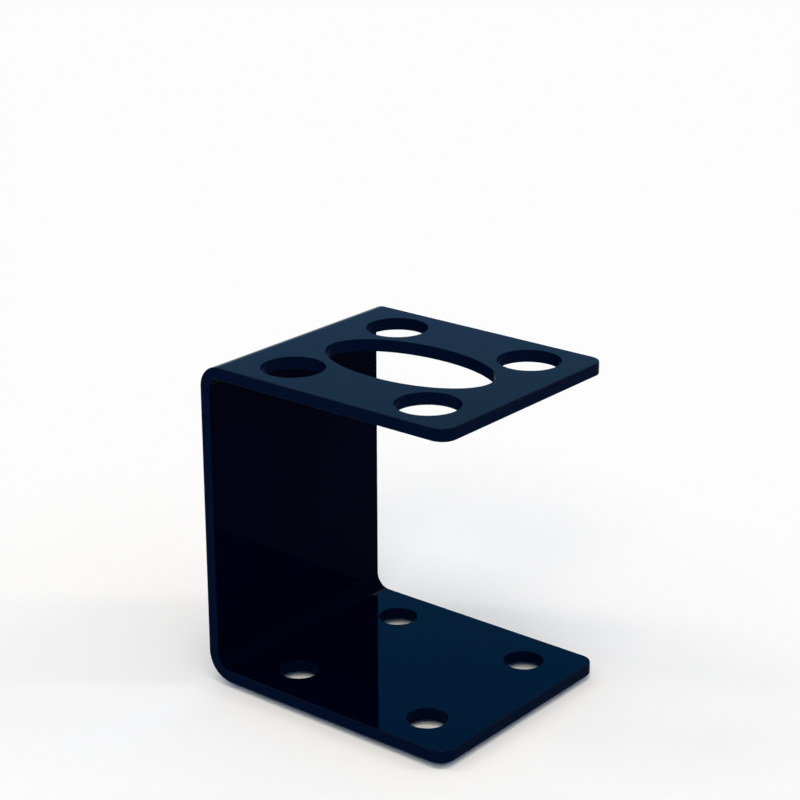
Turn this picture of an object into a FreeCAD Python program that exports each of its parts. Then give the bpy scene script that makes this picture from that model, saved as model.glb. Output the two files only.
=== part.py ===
import FreeCAD, Part
import math
import os
import Sketcher

# A free-standing toothbrush holder: one sheet of black acrylic, cut with its holes and rounded
# front corners, then heat-bent along two lines into a C, standing on four bumper feet.
# Millimetres. +Z is up, X runs across the holder and the open front faces -Y.
# The origin is on the counter, under the middle of the holder.

# Driving dimensions: name, value, what it measures
SIZES = (
    ("holder_width", 80.0, "sheet, side to side"),
    ("holder_depth", 95.0, "front edge to the outside of the back panel"),
    ("sheet_rise", 106.0, "underside of the base to the top of the shelf"),
    ("sheet_thickness", 4.0, "acrylic sheet"),
    ("shelf_bend_radius", 3.5, "inside of the bend between back panel and shelf"),
    ("base_bend_radius", 5.0, "inside of the bend between base and back panel"),
    ("corner_radius", 5.0, "front corners of shelf and base, seen from above"),
    ("edge_ease", 0.3, "polished rounding along the sheet's cut edges"),
    ("shelf_hole_diameter", 20.0, "round holes in the shelf"),
    ("base_hole_diameter", 13.0, "round holes in the base, under those in the shelf"),
    ("hole_column_spacing", 50.0, "between hole centres, side to side"),
    ("hole_row_spacing", 52.0, "between hole centres, front to back"),
    ("front_row_setback", 18.0, "front edge to the centres of the front holes"),
    ("oval_hole_width", 34.0, "oval hole in the shelf, side to side"),
    ("oval_hole_length", 61.0, "oval hole in the shelf, front to back"),
    ("oval_hole_setback", 45.0, "front edge to the centre of the oval hole"),
    ("foot_diameter", 8.0, "bumper foot where it sticks to the base"),
    ("foot_tip_diameter", 6.4, "bumper foot where it meets the counter"),
    ("foot_height", 2.0, "counter to the underside of the base"),
    ("foot_tip_rounding", 0.5, "lower rim of the bumper foot"),
    ("foot_inset", 6.0, "foot centre in from the edges of the flat base"),
    ("cut_overrun", 1.0, "how far a cutting tool runs past the sheet"),
)

# Sketch point numbers, and the index numbers of the sketch's own origin and upright axis
START, END, CENTRE = range(1, 4)
ORIGIN_INDEX, UPRIGHT_AXIS_INDEX = range(-1, -3, -1)
ORIGIN = (ORIGIN_INDEX, START)

FULL_TURN = 360.0
SHARP_ANGLE = math.radians(30.0)
TOUCHING = 1e-6

doc = FreeCAD.newDocument("toothbrush_holder")
sheet = doc.addObject("Spreadsheet::Sheet", "sizes")
size = {}
for row, (alias, value, meaning) in enumerate(SIZES, start=1):
    sheet.set(f"A{row}", alias)
    sheet.set(f"B{row}", str(value))
    sheet.set(f"C{row}", meaning)
    sheet.setAlias(f"B{row}", alias)
    size[alias] = value
doc.recompute()


def new_sketch(body, name, role, offset=None):
    """A sketch on one of the body's origin planes, raised along its normal by an expression."""
    sketch = body.newObject("Sketcher::SketchObject", name)
    plane = next(feature for feature in body.Origin.OriginFeatures if feature.Role == role)
    sketch.AttachmentSupport = [(plane, "")]
    sketch.MapMode = "FlatFace"
    if offset:
        sketch.setExpression("AttachmentOffset.Base.z", offset)
    return sketch


def drive(sketch, name, expression, kind, *references):
    """Dimension the sketch with an expression, starting from the length as drawn."""
    if kind in ("DistanceX", "DistanceY"):
        start = sketch.getPoint(*references[:2])
        end = sketch.getPoint(*references[2:])
        drawn = end.x - start.x if kind == "DistanceX" else end.y - start.y
    elif kind == "Distance":
        drawn = sketch.Geometry[references[0]].length()
    else:
        drawn = sketch.Geometry[references[0]].Radius
        drawn = 2 * drawn if kind == "Diameter" else drawn
    index = sketch.addConstraint(Sketcher.Constraint(kind, *references, drawn))
    sketch.renameConstraint(index, name)
    sketch.setExpression(f"Constraints.{name}", expression)


def tie(sketch, *constraints):
    """Add the sketch's constraints that carry no length."""
    for constraint in constraints:
        sketch.addConstraint(Sketcher.Constraint(*constraint))


def edges_where(shape, test):
    """Names of the shape's edges that pass the test."""
    return [f"Edge{number}" for number, edge in enumerate(shape.Edges, start=1) if test(edge)]


def is_sharp(shape, edge):
    """Whether the two faces beside an edge meet at an angle, not smoothly."""
    middle = edge.valueAt((edge.FirstParameter + edge.LastParameter) / 2)
    normals = []
    for face in shape.ancestorsOfType(edge, Part.Face):
        normals.append(face.normalAt(*face.Surface.parameter(middle)))
    return normals[0].getAngle(normals[-1]) > SHARP_ANGLE


def draw_bent_profile(sketch):
    """The C seen from the side: base, back panel and shelf, with a round bend between each."""
    front = -size["holder_depth"] / 2
    back = size["holder_depth"] / 2
    low = size["foot_height"]
    high = low + size["sheet_rise"]
    thickness = size["sheet_thickness"]
    low_radius = size["base_bend_radius"]
    high_radius = size["shelf_bend_radius"]
    low_y = back - thickness - low_radius
    low_z = low + thickness + low_radius
    high_y = back - thickness - high_radius
    high_z = high - thickness - high_radius
    quarter = math.pi / 2

    def line(y_from, z_from, y_to, z_to):
        ends = FreeCAD.Vector(y_from, z_from, 0), FreeCAD.Vector(y_to, z_to, 0)
        return sketch.addGeometry(Part.LineSegment(*ends))

    def bend(y_centre, z_centre, radius, angle_from, angle_to):
        centre = FreeCAD.Vector(y_centre, z_centre, 0)
        circle = Part.Circle(centre, FreeCAD.Vector(0, 0, 1), radius)
        return sketch.addGeometry(Part.ArcOfCircle(circle, angle_from, angle_to))

    base_under = line(front, low, low_y, low)
    low_outer = bend(low_y, low_z, low_radius + thickness, -quarter, 0)
    back_outer = line(back, low_z, back, high_z)
    high_outer = bend(high_y, high_z, high_radius + thickness, 0, quarter)
    shelf_top = line(high_y, high, front, high)
    shelf_lip = line(front, high, front, high - thickness)
    shelf_under = line(front, high - thickness, high_y, high - thickness)
    high_inner = bend(high_y, high_z, high_radius, 0, quarter)
    back_inner = line(back - thickness, high_z, back - thickness, low_z)
    low_inner = bend(low_y, low_z, low_radius, -quarter, 0)
    base_top = line(low_y, low + thickness, front, low + thickness)
    base_lip = line(front, low + thickness, front, low)

    tie(
        sketch,
        ("Tangent", base_under, END, low_outer, START),
        ("Tangent", low_outer, END, back_outer, START),
        ("Tangent", back_outer, END, high_outer, START),
        ("Tangent", high_outer, END, shelf_top, START),
        ("Coincident", shelf_top, END, shelf_lip, START),
        ("Coincident", shelf_lip, END, shelf_under, START),
        ("Tangent", shelf_under, END, high_inner, END),
        ("Tangent", high_inner, START, back_inner, START),
        ("Tangent", back_inner, END, low_inner, END),
        ("Tangent", low_inner, START, base_top, START),
        ("Coincident", base_top, END, base_lip, START),
        ("Coincident", base_lip, END, base_under, START),
        ("Coincident", low_inner, CENTRE, low_outer, CENTRE),
        ("Coincident", high_inner, CENTRE, high_outer, CENTRE),
        ("Vertical", base_under, START, shelf_top, END),
    )
    for level in (base_under, shelf_top, shelf_under, base_top):
        tie(sketch, ("Horizontal", level))
    for upright in (back_outer, shelf_lip, back_inner, base_lip):
        tie(sketch, ("Vertical", upright))

    corner = (base_under, START)
    drive(sketch, "to_middle", "sizes.holder_depth / 2", "DistanceX", *corner, *ORIGIN)
    drive(sketch, "off_counter", "sizes.foot_height", "DistanceY", *ORIGIN, *corner)
    drive(sketch, "depth", "sizes.holder_depth", "DistanceX", *corner, back_outer, START)
    drive(sketch, "rise", "sizes.sheet_rise", "DistanceY", *corner, shelf_top, END)
    drive(sketch, "thickness", "sizes.sheet_thickness", "DistanceY", *corner, base_lip, START)
    drive(sketch, "low_bend", "sizes.base_bend_radius", "Radius", low_inner)
    drive(sketch, "high_bend", "sizes.shelf_bend_radius", "Radius", high_inner)


def draw_hole_grid(sketch, diameter_name):
    """Four round holes, two columns by two rows, about the holder's middle plane."""
    radius = size[diameter_name] / 2
    front_y = size["front_row_setback"] - size["holder_depth"] / 2
    holes = {}
    for side in (-1, 1):
        for rows_back in (0, 1):
            across = side * size["hole_column_spacing"] / 2
            along = front_y + rows_back * size["hole_row_spacing"]
            circle = Part.Circle(FreeCAD.Vector(across, along, 0), FreeCAD.Vector(0, 0, 1), radius)
            holes[side, rows_back] = sketch.addGeometry(circle)

    front_left = holes[-1, 0]
    front_right = holes[1, 0]
    back_left = holes[-1, 1]
    back_right = holes[1, 1]
    tie(
        sketch,
        ("Symmetric", front_left, CENTRE, front_right, CENTRE, UPRIGHT_AXIS_INDEX),
        ("Vertical", front_left, CENTRE, back_left, CENTRE),
        ("Vertical", front_right, CENTRE, back_right, CENTRE),
        ("Horizontal", back_left, CENTRE, back_right, CENTRE),
    )
    for hole in (front_right, back_left, back_right):
        tie(sketch, ("Equal", front_left, hole))

    corner = (front_left, CENTRE)
    setback = "sizes.holder_depth / 2 - sizes.front_row_setback"
    drive(sketch, "diameter", f"sizes.{diameter_name}", "Diameter", front_left)
    drive(sketch, "columns", "sizes.hole_column_spacing", "DistanceX", *corner, front_right, CENTRE)
    drive(sketch, "rows", "sizes.hole_row_spacing", "DistanceY", *corner, back_left, CENTRE)
    drive(sketch, "setback", setback, "DistanceY", *corner, *ORIGIN)
    return front_left


def draw_oval_hole(sketch, front_left):
    """An oval, longer front to back, between the four round holes."""
    middle = FreeCAD.Vector(0, size["oval_hole_setback"] - size["holder_depth"] / 2, 0)
    far_end = middle + FreeCAD.Vector(0, size["oval_hole_length"] / 2, 0)
    side_end = middle - FreeCAD.Vector(size["oval_hole_width"] / 2, 0, 0)
    oval = sketch.addGeometry(Part.Ellipse(far_end, side_end, middle))
    sketch.exposeInternalGeometry(oval)
    long_axis = oval + 1
    short_axis = oval + 2
    tie(
        sketch,
        ("Vertical", long_axis),
        ("PointOnObject", oval, CENTRE, UPRIGHT_AXIS_INDEX),
    )
    behind_front_row = "sizes.oval_hole_setback - sizes.front_row_setback"
    drive(sketch, "oval_place", behind_front_row, "DistanceY", front_left, CENTRE, oval, CENTRE)
    drive(sketch, "oval_length", "sizes.oval_hole_length", "Distance", long_axis)
    drive(sketch, "oval_width", "sizes.oval_hole_width", "Distance", short_axis)


def cut_through_sheet(body, sketch, name):
    """Cut the sketch's outlines down through one thickness of the sheet."""
    pocket = body.newObject("PartDesign::Pocket", name)
    pocket.Profile = sketch
    pocket.setExpression("Length", "sizes.sheet_thickness + 2 * sizes.cut_overrun")
    before = body.Shape.Volume
    doc.recompute()
    if pocket.Shape.Volume >= before:
        raise RuntimeError(f"{name} cuts nothing")


def round_edges(body, name, base, test, radius_name):
    """Round the chosen edges of the body so far."""
    fillet = body.newObject("PartDesign::Fillet", name)
    fillet.Base = (base, edges_where(base.Shape, test))
    fillet.setExpression("Radius", f"sizes.{radius_name}")
    doc.recompute()
    return fillet


def make_bent_sheet():
    """Shelf, back panel and base in one bent sheet, with its holes."""
    body = doc.addObject("PartDesign::Body", "bent_sheet")
    profile = new_sketch(body, "bent_profile", "YZ_Plane")
    draw_bent_profile(profile)
    strip = body.newObject("PartDesign::Pad", "bent_strip")
    strip.Profile = profile
    strip.SideType = "Symmetric"
    strip.setExpression("Length", "sizes.holder_width")
    doc.recompute()

    front = -size["holder_depth"] / 2

    def at_front_corner(edge):
        box = edge.BoundBox
        upright = box.XLength < TOUCHING and box.YLength < TOUCHING
        return upright and abs(box.YMin - front) < TOUCHING

    rounded = round_edges(body, "front_corners", strip, at_front_corner, "corner_radius")

    def on_cut_edge(edge):
        return is_sharp(rounded.Shape, edge)

    round_edges(body, "eased_edges", rounded, on_cut_edge, "edge_ease")

    above_shelf = "sizes.foot_height + sizes.sheet_rise + sizes.cut_overrun"
    shelf_holes = new_sketch(body, "shelf_holes", "XY_Plane", above_shelf)
    front_left_hole = draw_hole_grid(shelf_holes, "shelf_hole_diameter")
    draw_oval_hole(shelf_holes, front_left_hole)
    cut_through_sheet(body, shelf_holes, "cut_shelf_holes")

    above_base = "sizes.foot_height + sizes.sheet_thickness + sizes.cut_overrun"
    base_holes = new_sketch(body, "base_holes", "XY_Plane", above_base)
    draw_hole_grid(base_holes, "base_hole_diameter")
    cut_through_sheet(body, base_holes, "cut_base_holes")
    return body


def make_foot(label, x_place, y_place):
    """A tapered round bumper: flat where it sticks to the base, rounded where it stands."""
    body = doc.addObject("PartDesign::Body", label)
    profile = new_sketch(body, f"{label}_profile", "XZ_Plane")
    tip_radius = size["foot_tip_diameter"] / 2
    seat_radius = size["foot_diameter"] / 2
    top = size["foot_height"]
    outline = ((0, 0), (tip_radius, 0), (seat_radius, top), (0, top))
    corners = [FreeCAD.Vector(across, up, 0) for across, up in outline]
    sides = []
    for corner, following in zip(corners, corners[1:] + corners[:1]):
        sides.append(profile.addGeometry(Part.LineSegment(corner, following)))
    for side, following in zip(sides, sides[1:] + sides[:1]):
        tie(profile, ("Coincident", side, END, following, START))
    tip, flank, seat, axis = sides
    tie(
        profile,
        ("Coincident", tip, START, *ORIGIN),
        ("Horizontal", tip),
        ("Horizontal", seat),
        ("Vertical", axis),
    )
    drive(profile, "tip_radius", "sizes.foot_tip_diameter / 2", "DistanceX", tip, START, tip, END)
    drive(profile, "seat_radius", "sizes.foot_diameter / 2", "DistanceX", seat, END, seat, START)
    drive(profile, "height", "sizes.foot_height", "DistanceY", flank, START, flank, END)

    bumper = body.newObject("PartDesign::Revolution", f"{label}_bumper")
    bumper.Profile = profile
    bumper.ReferenceAxis = (profile, ["V_Axis"])
    bumper.Angle = FULL_TURN
    doc.recompute()

    def at_tip_rim(edge):
        return edge.BoundBox.ZMax < TOUCHING and edge.BoundBox.ZLength < TOUCHING

    round_edges(body, f"{label}_rim", bumper, at_tip_rim, "foot_tip_rounding")
    body.setExpression("Placement.Base.x", x_place)
    body.setExpression("Placement.Base.y", y_place)
    return body


subparts = [make_bent_sheet()]
flat_base_end = "sizes.holder_depth / 2 - sizes.sheet_thickness - sizes.base_bend_radius"
foot_rows = {
    "front": "sizes.foot_inset - sizes.holder_depth / 2",
    "back": f"{flat_base_end} - sizes.foot_inset",
}
foot_columns = {
    "left": "sizes.foot_inset - sizes.holder_width / 2",
    "right": "sizes.holder_width / 2 - sizes.foot_inset",
}
for row, y_place in foot_rows.items():
    for column, x_place in foot_columns.items():
        subparts.append(make_foot(f"foot_{row}_{column}", x_place, y_place))
doc.recompute()

# Refuse to write a model with a failed feature or a broken solid
for feature in doc.Objects:
    if "Invalid" in feature.State or "Error" in feature.State:
        raise RuntimeError(f"{feature.Label} failed: {feature.State}")
for body in subparts:
    if body.Shape.isNull() or not body.Shape.isValid() or len(body.Shape.Solids) != 1:
        raise RuntimeError(f"{body.Label} is not one sound solid")

os.makedirs("parts", exist_ok=True)
for body in subparts:
    body.Shape.exportStep(os.path.join("parts", f"{body.Label}.step"))
    print(body.Label, "volume", round(body.Shape.Volume, 1), "mm3")
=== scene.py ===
import bpy
import math
from mathutils import Matrix, Vector


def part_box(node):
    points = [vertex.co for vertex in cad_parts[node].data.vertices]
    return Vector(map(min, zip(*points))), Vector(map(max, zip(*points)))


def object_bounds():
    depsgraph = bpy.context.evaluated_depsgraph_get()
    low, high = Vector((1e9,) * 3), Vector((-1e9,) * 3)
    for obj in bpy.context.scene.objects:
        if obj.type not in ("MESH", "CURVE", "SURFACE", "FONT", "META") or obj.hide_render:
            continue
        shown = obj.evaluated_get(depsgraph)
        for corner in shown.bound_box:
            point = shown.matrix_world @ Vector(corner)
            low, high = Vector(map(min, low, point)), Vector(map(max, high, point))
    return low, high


# Looks of the toothbrush holder: glossy black acrylic on clear bumper feet, on a plain pale floor.
# Metres, in the part's own frame: +Z up, open front towards -Y, counter at zero height.

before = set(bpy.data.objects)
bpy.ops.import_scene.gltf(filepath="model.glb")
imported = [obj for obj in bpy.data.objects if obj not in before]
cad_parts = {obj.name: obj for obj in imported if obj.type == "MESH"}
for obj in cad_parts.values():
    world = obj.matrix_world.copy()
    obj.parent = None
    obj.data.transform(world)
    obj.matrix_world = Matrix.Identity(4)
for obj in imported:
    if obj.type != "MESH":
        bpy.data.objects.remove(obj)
cad_low, cad_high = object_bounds()
sheet_low, sheet_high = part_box("bent_sheet")

MM = 0.001
SHEET_THICKNESS = 4.0 * MM
BLEND_LENGTH = 0.2 * MM

# Where the photograph was taken from
IMAGE_PIXELS = 800
FOCAL_PIXELS = 2144.8
SENSOR_WIDTH_MM = 36.0
CAMERA_PLACE = Vector((-482.15, -389.95, 319.33)) * MM
CAMERA_YAW = math.radians(50.952)
CAMERA_PITCH = math.radians(19.854)
CAMERA_ROLL = math.radians(0.122)

# Black acrylic: a deep navy black under a clear polish, with a paler painted sheen on the cut walls in
# place of the blue reflection they show
DEEP_BLACK = (0.0002, 0.0004, 0.0040, 1.0)
SOFT_BLACK = (0.0004, 0.0010, 0.0080, 1.0)
CUT_WALL_PAINTED_SHEEN = (0.0007, 0.0040, 0.0175, 1.0)
CLOUD_WAVES = 28.0
CLOUD_DETAIL = 4.0
ACRYLIC_IOR = 1.18
ACRYLIC_GLOSS_TINT = (0.35, 0.60, 1.0, 1.0)
FACE_GLOSS = 0.5
SHADED_GLOSS = 0.03

# Which surfaces count as cut walls, or as the inside of the C, by the way they face
UPRIGHT_SHARES = (0.30, 0.05)
SIDEWAYS_SHARES = (0.85, 0.97)
FORWARD_SHARES = (0.10, 0.40)

# Polish: how rough the sheet is where clean, smudged or cut
POLISHED_ROUGHNESS = 0.035
SMUDGED_ROUGHNESS = 0.11
CUT_ROUGHNESS = 0.16
SMUDGE_WAVES = 45.0
SMUDGE_DETAIL = 5.0
SMUDGE_SHARES = (0.45, 0.75)

# Relief: hairlines, waves beside the bends, and striations on the cut walls
HAIRLINE_WAVES = 1400.0
HAIRLINE_STRETCH = (50.0, 1.0, 1.0)
HAIRLINE_TURN = (0.0, 0.0, math.radians(25.0))
HAIRLINE_SHARES = (0.66, 0.74)
HAIRLINE_DEPTH = 0.0008 * MM
BEND_REACH = 22.0 * MM
BEND_WAVES = 75.0
BEND_WAVE_DEPTH = 0.02 * MM
STRIATION_WAVES = 2200.0
STRIATION_DEPTH = 0.003 * MM
PLAIN_DETAIL = 1.0

# Clear soft plastic of the feet
BUMPER_CLEAR = (0.88, 0.90, 0.90, 1.0)
BUMPER_CLOUDY = (0.74, 0.77, 0.78, 1.0)
BUMPER_WAVES = 600.0
BUMPER_DETAIL = 3.0
BUMPER_CLOUD_SHARES = (0.3, 0.8)
BUMPER_ROUGHNESSES = (0.15, 0.40)
BUMPER_CLEARNESS = 0.8
BUMPER_IOR = 1.5

# The floor
FLOOR_RADIUS = 4.0
FLOOR_SIDES = 96
FLOOR_COLOUR = (0.93, 0.93, 0.93, 1.0)
FLOOR_ROUGHNESS = 0.9
FLOOR_GLOSS = 0.0

# The room that lights the object: a pale horizon, blue walls that deepen upwards, and a soft ceiling.
# Each change of colour lies between two heights, given as the sine of the angle above the floor.
HORIZON_COLOUR = (0.983, 0.986, 0.988, 1.0)
WALL_FOOT_COLOUR = (0.138, 0.34, 0.62, 1.0)
WALL_TOP_COLOUR = (0.02, 0.32, 0.80, 1.0)
CEILING_COLOUR = (0.69, 0.65, 0.588, 1.0)
HORIZON_RISES = (0.14, 0.28)
WALL_RISES = (0.34, 0.46)
CEILING_RISES = (0.50, 0.62)

# In the far corner, seen past the object in the photograph, the walls come down lower
FAR_WAY = (0.73, 0.68, 0.0)
FAR_SHARES = (0.5, 0.9)
FAR_DROP = 0.12

# Softboxes round the object, which light it softly and glint on its eased edges: the way to each
# from the object, the shares of its distance that it is wide and high, and how bright its face is
SOFTBOX_DISTANCE = 60.0
SOFTBOX_COLOUR = (1.0, 0.92, 0.80)
SOFTBOXES = {
    "overhead": ((-0.20, -0.15, 0.97), 0.40, 0.40, 4.3),
    "beside_camera": ((-0.66, -0.39, 0.64), 0.27, 0.27, 6.9),
    "front_right": ((0.50, -0.62, 0.60), 0.13, 0.50, 4.3),
    "back_left": ((-0.32, 0.59, 0.71), 0.13, 0.50, 4.3),
}

# The watts to the square metre at which a softbox's face has a brightness of one
WATTS_PER_BRIGHTNESS = 4.0

# Where a mix node keeps its two inputs and its output, for each kind of value
MIX_SOCKETS = {"FLOAT": (2, 3, 0), "VECTOR": (4, 5, 1), "RGBA": (6, 7, 2)}


def set_inputs(tree, node, inputs):
    """Give a node's inputs their constant values, or links from other nodes' outputs."""
    for name, value in inputs.items():
        if isinstance(value, bpy.types.NodeSocket):
            tree.links.new(value, node.inputs[name])
        else:
            node.inputs[name].default_value = value


def add_node(tree, kind, inputs=None, **settings):
    """A new node, with its settings and inputs."""
    node = tree.nodes.new(kind)
    for name, value in settings.items():
        setattr(node, name, value)
    set_inputs(tree, node, inputs or {})
    return node


def maths(tree, operation, *values):
    """The output of a maths node, held between zero and one."""
    inputs = dict(enumerate(values))
    return add_node(tree, "ShaderNodeMath", inputs, operation=operation, use_clamp=True).outputs[0]


def split(tree, vector):
    """The three parts of a vector, X, Y and Z."""
    return add_node(tree, "ShaderNodeSeparateXYZ", {0: vector}).outputs


def fade(tree, value, start, end, low=0.0, high=1.0):
    """A smooth step from low to high as the value goes from start to end."""
    inputs = {"Value": value, "From Min": start, "From Max": end, "To Min": low, "To Max": high}
    return add_node(tree, "ShaderNodeMapRange", inputs, interpolation_type="SMOOTHSTEP").outputs[0]


def noise(tree, place, waves, detail=PLAIN_DETAIL):
    """Smooth noise between zero and one, with so many waves to the metre."""
    inputs = {"Vector": place, "Scale": waves, "Detail": detail}
    return add_node(tree, "ShaderNodeTexNoise", inputs).outputs["Fac"]


def blend(tree, kind, share, first, second):
    """A number, vector or colour between two, by share."""
    first_input, second_input, output = MIX_SOCKETS[kind]
    inputs = {"Factor": share, first_input: first, second_input: second}
    return add_node(tree, "ShaderNodeMix", inputs, data_type=kind).outputs[output]


def emboss(tree, height, mask, depth, normal=None, inward=False):
    """The normal, or the surface's own, bent under the mask by relief of the given depth."""
    inputs = {"Height": maths(tree, "MULTIPLY", height, mask), "Distance": depth}
    if normal:
        inputs["Normal"] = normal
    return add_node(tree, "ShaderNodeBump", inputs, invert=inward).outputs["Normal"]


def new_material(name):
    """A node material with a plain principled shader."""
    material = bpy.data.materials.new(name)
    material.use_nodes = True
    tree = material.node_tree
    return material, tree, tree.nodes["Principled BSDF"]


def new_object(name, data):
    """A new object in the scene."""
    made = bpy.data.objects.new(name, data)
    bpy.context.scene.collection.objects.link(made)
    return made


def find_cut_walls(tree, place, facing):
    """Masks of the walls left by the cutter, and of all that is level with the base or the shelf.

    The cut walls are the sheet's sides, and every upright wall at those two levels.
    """
    up = split(tree, place)["Z"]
    base_top = sheet_low.z + SHEET_THICKNESS
    shelf_underside = sheet_high.z - SHEET_THICKNESS
    beside_base = fade(tree, up, base_top + BLEND_LENGTH, base_top)
    beside_shelf = fade(tree, up, shelf_underside - BLEND_LENGTH, shelf_underside)
    beside_level = maths(tree, "MAXIMUM", beside_base, beside_shelf)

    upright = fade(tree, maths(tree, "ABSOLUTE", facing["Z"]), *UPRIGHT_SHARES)
    level_wall = maths(tree, "MULTIPLY", beside_level, upright)
    side_wall = fade(tree, maths(tree, "ABSOLUTE", facing["X"]), *SIDEWAYS_SHARES)
    return maths(tree, "MAXIMUM", level_wall, side_wall), beside_level


def make_relief(tree, place, cut_wall):
    """The sheet's normal, bent by hairlines, by waves beside the bends and by the cutter's striations."""
    across, along, up = split(tree, place)

    # Hairlines, scratched into the faces
    uncut = maths(tree, "SUBTRACT", 1.0, cut_wall)
    hairline_inputs = {"Vector": place, "Rotation": HAIRLINE_TURN, "Scale": HAIRLINE_STRETCH}
    stretched = add_node(tree, "ShaderNodeMapping", hairline_inputs, vector_type="TEXTURE").outputs[0]
    hairline = fade(tree, noise(tree, stretched, HAIRLINE_WAVES), *HAIRLINE_SHARES)
    normal = emboss(tree, hairline, uncut, HAIRLINE_DEPTH, inward=True)

    # Waves, left by the heat within reach of the bends
    wave_front = sheet_high.y - BEND_REACH
    near_bend = fade(tree, along, wave_front - BEND_REACH, wave_front)
    wave = noise(tree, place, BEND_WAVES)
    normal = emboss(tree, wave, near_bend, BEND_WAVE_DEPTH, normal)

    # Striations across the thickness of the cut walls, one after another along shelf and base,
    # and up the sides of the panel
    level_run = add_node(tree, "ShaderNodeCombineXYZ", {"X": across, "Y": along}).outputs[0]
    upright_run = add_node(tree, "ShaderNodeCombineXYZ", {"Z": up}).outputs[0]
    run = blend(tree, "VECTOR", near_bend, level_run, upright_run)
    striation = noise(tree, run, STRIATION_WAVES)
    return emboss(tree, striation, cut_wall, STRIATION_DEPTH, normal)


def make_acrylic():
    """Polished black sheet, with faint smudges and hairlines, laser-cut walls and heat-bent corners."""
    material, tree, shader = new_material("black_acrylic_gloss")
    where = add_node(tree, "ShaderNodeTexCoord")
    place = where.outputs["Object"]
    facing = split(tree, where.outputs["Normal"])
    cut_wall, beside_level = find_cut_walls(tree, place, facing)

    cloud = noise(tree, place, CLOUD_WAVES, CLOUD_DETAIL)
    face_colour = blend(tree, "RGBA", cloud, DEEP_BLACK, SOFT_BLACK)
    # The cut walls take a paler colour: a painted sheen, standing in for the reflection on them
    colour = blend(tree, "RGBA", cut_wall, face_colour, CUT_WALL_PAINTED_SHEEN)

    # Polish, dulled by smudges on the faces and by the cutter on the walls
    smudge = fade(tree, noise(tree, place, SMUDGE_WAVES, SMUDGE_DETAIL), *SMUDGE_SHARES)
    polish = blend(tree, "FLOAT", smudge, POLISHED_ROUGHNESS, SMUDGED_ROUGHNESS)
    roughness = blend(tree, "FLOAT", cut_wall, polish, CUT_ROUGHNESS)

    # Gloss, weaker on the cut walls and on the inside of the C, between shelf and base
    forward = fade(tree, maths(tree, "MULTIPLY", facing["Y"], -1.0), *FORWARD_SHARES)
    inside = maths(tree, "SUBTRACT", forward, beside_level)
    shaded = maths(tree, "MAXIMUM", cut_wall, inside)
    gloss = blend(tree, "FLOAT", shaded, FACE_GLOSS, SHADED_GLOSS)

    set_inputs(tree, shader, {
        "Base Color": colour,
        "Roughness": roughness,
        "Specular IOR Level": gloss,
        "Specular Tint": ACRYLIC_GLOSS_TINT,
        "IOR": ACRYLIC_IOR,
        "Normal": make_relief(tree, place, cut_wall),
    })
    return material


def make_bumper():
    """Clear soft plastic, slightly cloudy."""
    material, tree, shader = new_material("clear_bumper_plastic")
    place = add_node(tree, "ShaderNodeTexCoord").outputs["Object"]
    cloud = noise(tree, place, BUMPER_WAVES, BUMPER_DETAIL)
    set_inputs(tree, shader, {
        "Base Color": blend(tree, "RGBA", cloud, BUMPER_CLEAR, BUMPER_CLOUDY),
        "Roughness": fade(tree, cloud, *BUMPER_CLOUD_SHARES, *BUMPER_ROUGHNESSES),
        "Transmission Weight": BUMPER_CLEARNESS,
        "IOR": BUMPER_IOR,
    })
    return material


def make_pale_floor():
    """Plain matt floor finish, clear from below."""
    material, tree, shader = new_material("pale_floor")
    set_inputs(tree, shader, {
        "Base Color": FLOOR_COLOUR,
        "Roughness": FLOOR_ROUGHNESS,
        "Specular IOR Level": FLOOR_GLOSS,
    })
    clear = add_node(tree, "ShaderNodeBsdfTransparent").outputs[0]
    behind = add_node(tree, "ShaderNodeNewGeometry").outputs["Backfacing"]
    seen = add_node(tree, "ShaderNodeMixShader", {0: behind, 1: shader.outputs[0], 2: clear}).outputs[0]
    set_inputs(tree, tree.nodes["Material Output"], {"Surface": seen})
    return material


def dress_nodes():
    """Give each part of the frame its finish."""
    acrylic = make_acrylic()
    bumper = make_bumper()
    for name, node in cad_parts.items():
        node.data.materials.clear()
        node.data.materials.append(bumper if name.startswith("foot") else acrylic)


def make_floor():
    """A large round floor."""
    mesh = bpy.data.meshes.new("floor")
    turns = [2 * math.pi * side / FLOOR_SIDES for side in range(FLOOR_SIDES)]
    rim = [(FLOOR_RADIUS * math.cos(turn), FLOOR_RADIUS * math.sin(turn), 0) for turn in turns]
    mesh.from_pydata(rim, [], [range(FLOOR_SIDES)])
    mesh.materials.append(make_pale_floor())
    floor = new_object("floor", mesh)


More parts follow.
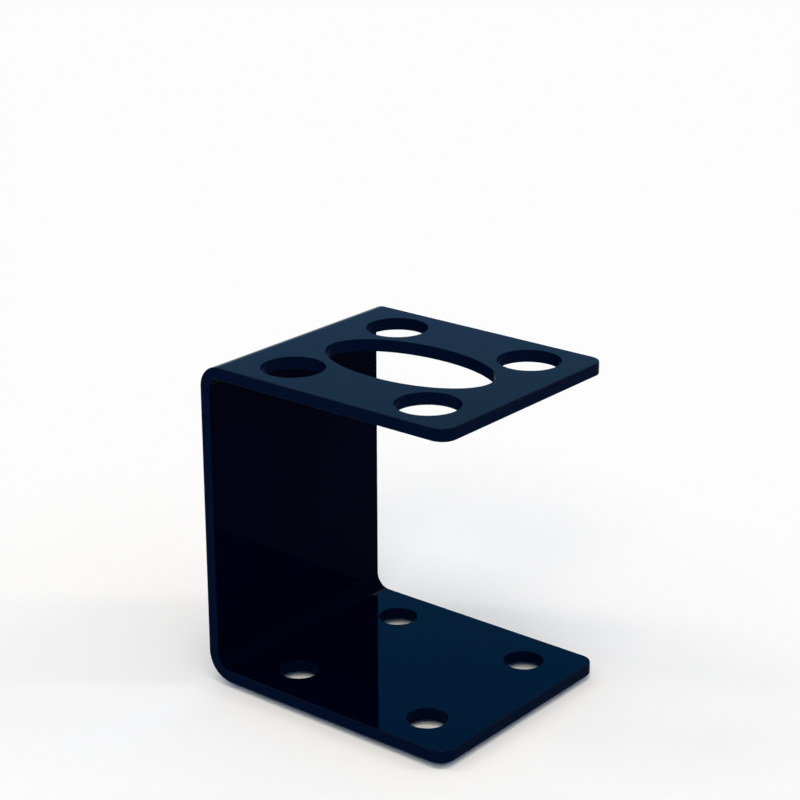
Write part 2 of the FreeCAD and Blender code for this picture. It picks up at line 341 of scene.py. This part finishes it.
def make_world():
    """A pale horizon, blue walls and a soft ceiling."""
    world = bpy.data.worlds.new("soft_room")
    bpy.context.scene.world = world
    world.use_nodes = True
    tree = world.node_tree
    direction = add_node(tree, "ShaderNodeTexCoord").outputs["Generated"]
    rise = split(tree, direction)["Z"]
    far_inputs = {0: direction, 1: FAR_WAY}
    far = add_node(tree, "ShaderNodeVectorMath", far_inputs, operation="DOT_PRODUCT").outputs["Value"]
    drop = fade(tree, far, *FAR_SHARES, high=FAR_DROP)

    above_horizon = fade(tree, maths(tree, "ADD", rise, drop), *HORIZON_RISES)
    colour = blend(tree, "RGBA", above_horizon, HORIZON_COLOUR, WALL_FOOT_COLOUR)
    colour = blend(tree, "RGBA", fade(tree, rise, *WALL_RISES), colour, WALL_TOP_COLOUR)
    colour = blend(tree, "RGBA", fade(tree, rise, *CEILING_RISES), colour, CEILING_COLOUR)
    set_inputs(tree, tree.nodes["Background"], {"Color": colour})


def make_softboxes():
    """Softboxes aimed at the middle of the holder, not seen themselves."""
    middle = (cad_low + cad_high) / 2
    for name, (way, width_share, height_share, brightness) in SOFTBOXES.items():
        lamp = bpy.data.lights.new(name, "AREA")
        lamp.shape = "RECTANGLE"
        lamp.size = width_share * SOFTBOX_DISTANCE
        lamp.size_y = height_share * SOFTBOX_DISTANCE
        lamp.energy = WATTS_PER_BRIGHTNESS * brightness * lamp.size * lamp.size_y
        lamp.color = SOFTBOX_COLOUR
        softbox = new_object(name, lamp)
        way = Vector(way).normalized()
        softbox.location = middle + SOFTBOX_DISTANCE * way
        softbox.rotation_euler = (-way).to_track_quat("-Z", "Y").to_euler()
        softbox.visible_camera = False


def make_camera():
    """The photograph's point of view."""
    forward = Vector((
        math.sin(CAMERA_YAW) * math.cos(CAMERA_PITCH),
        math.cos(CAMERA_YAW) * math.cos(CAMERA_PITCH),
        -math.sin(CAMERA_PITCH),
    ))
    level_right = Vector((math.cos(CAMERA_YAW), -math.sin(CAMERA_YAW), 0))
    level_down = forward.cross(level_right)
    right = math.cos(CAMERA_ROLL) * level_right + math.sin(CAMERA_ROLL) * level_down
    up = math.sin(CAMERA_ROLL) * level_right - math.cos(CAMERA_ROLL) * level_down
    turn = Matrix((right, up, -forward)).transposed().to_4x4()

    lens = bpy.data.cameras.new("camera")
    lens.sensor_width = SENSOR_WIDTH_MM
    lens.lens = SENSOR_WIDTH_MM * FOCAL_PIXELS / IMAGE_PIXELS
    camera = new_object("camera", lens)
    camera.matrix_world = Matrix.Translation(CAMERA_PLACE) @ turn
    bpy.context.scene.camera = camera


dress_nodes()
make_floor()
make_world()
make_softboxes()
make_camera()
bpy.context.scene.view_settings.view_transform = "Standard"

bpy.context.view_layer.update()
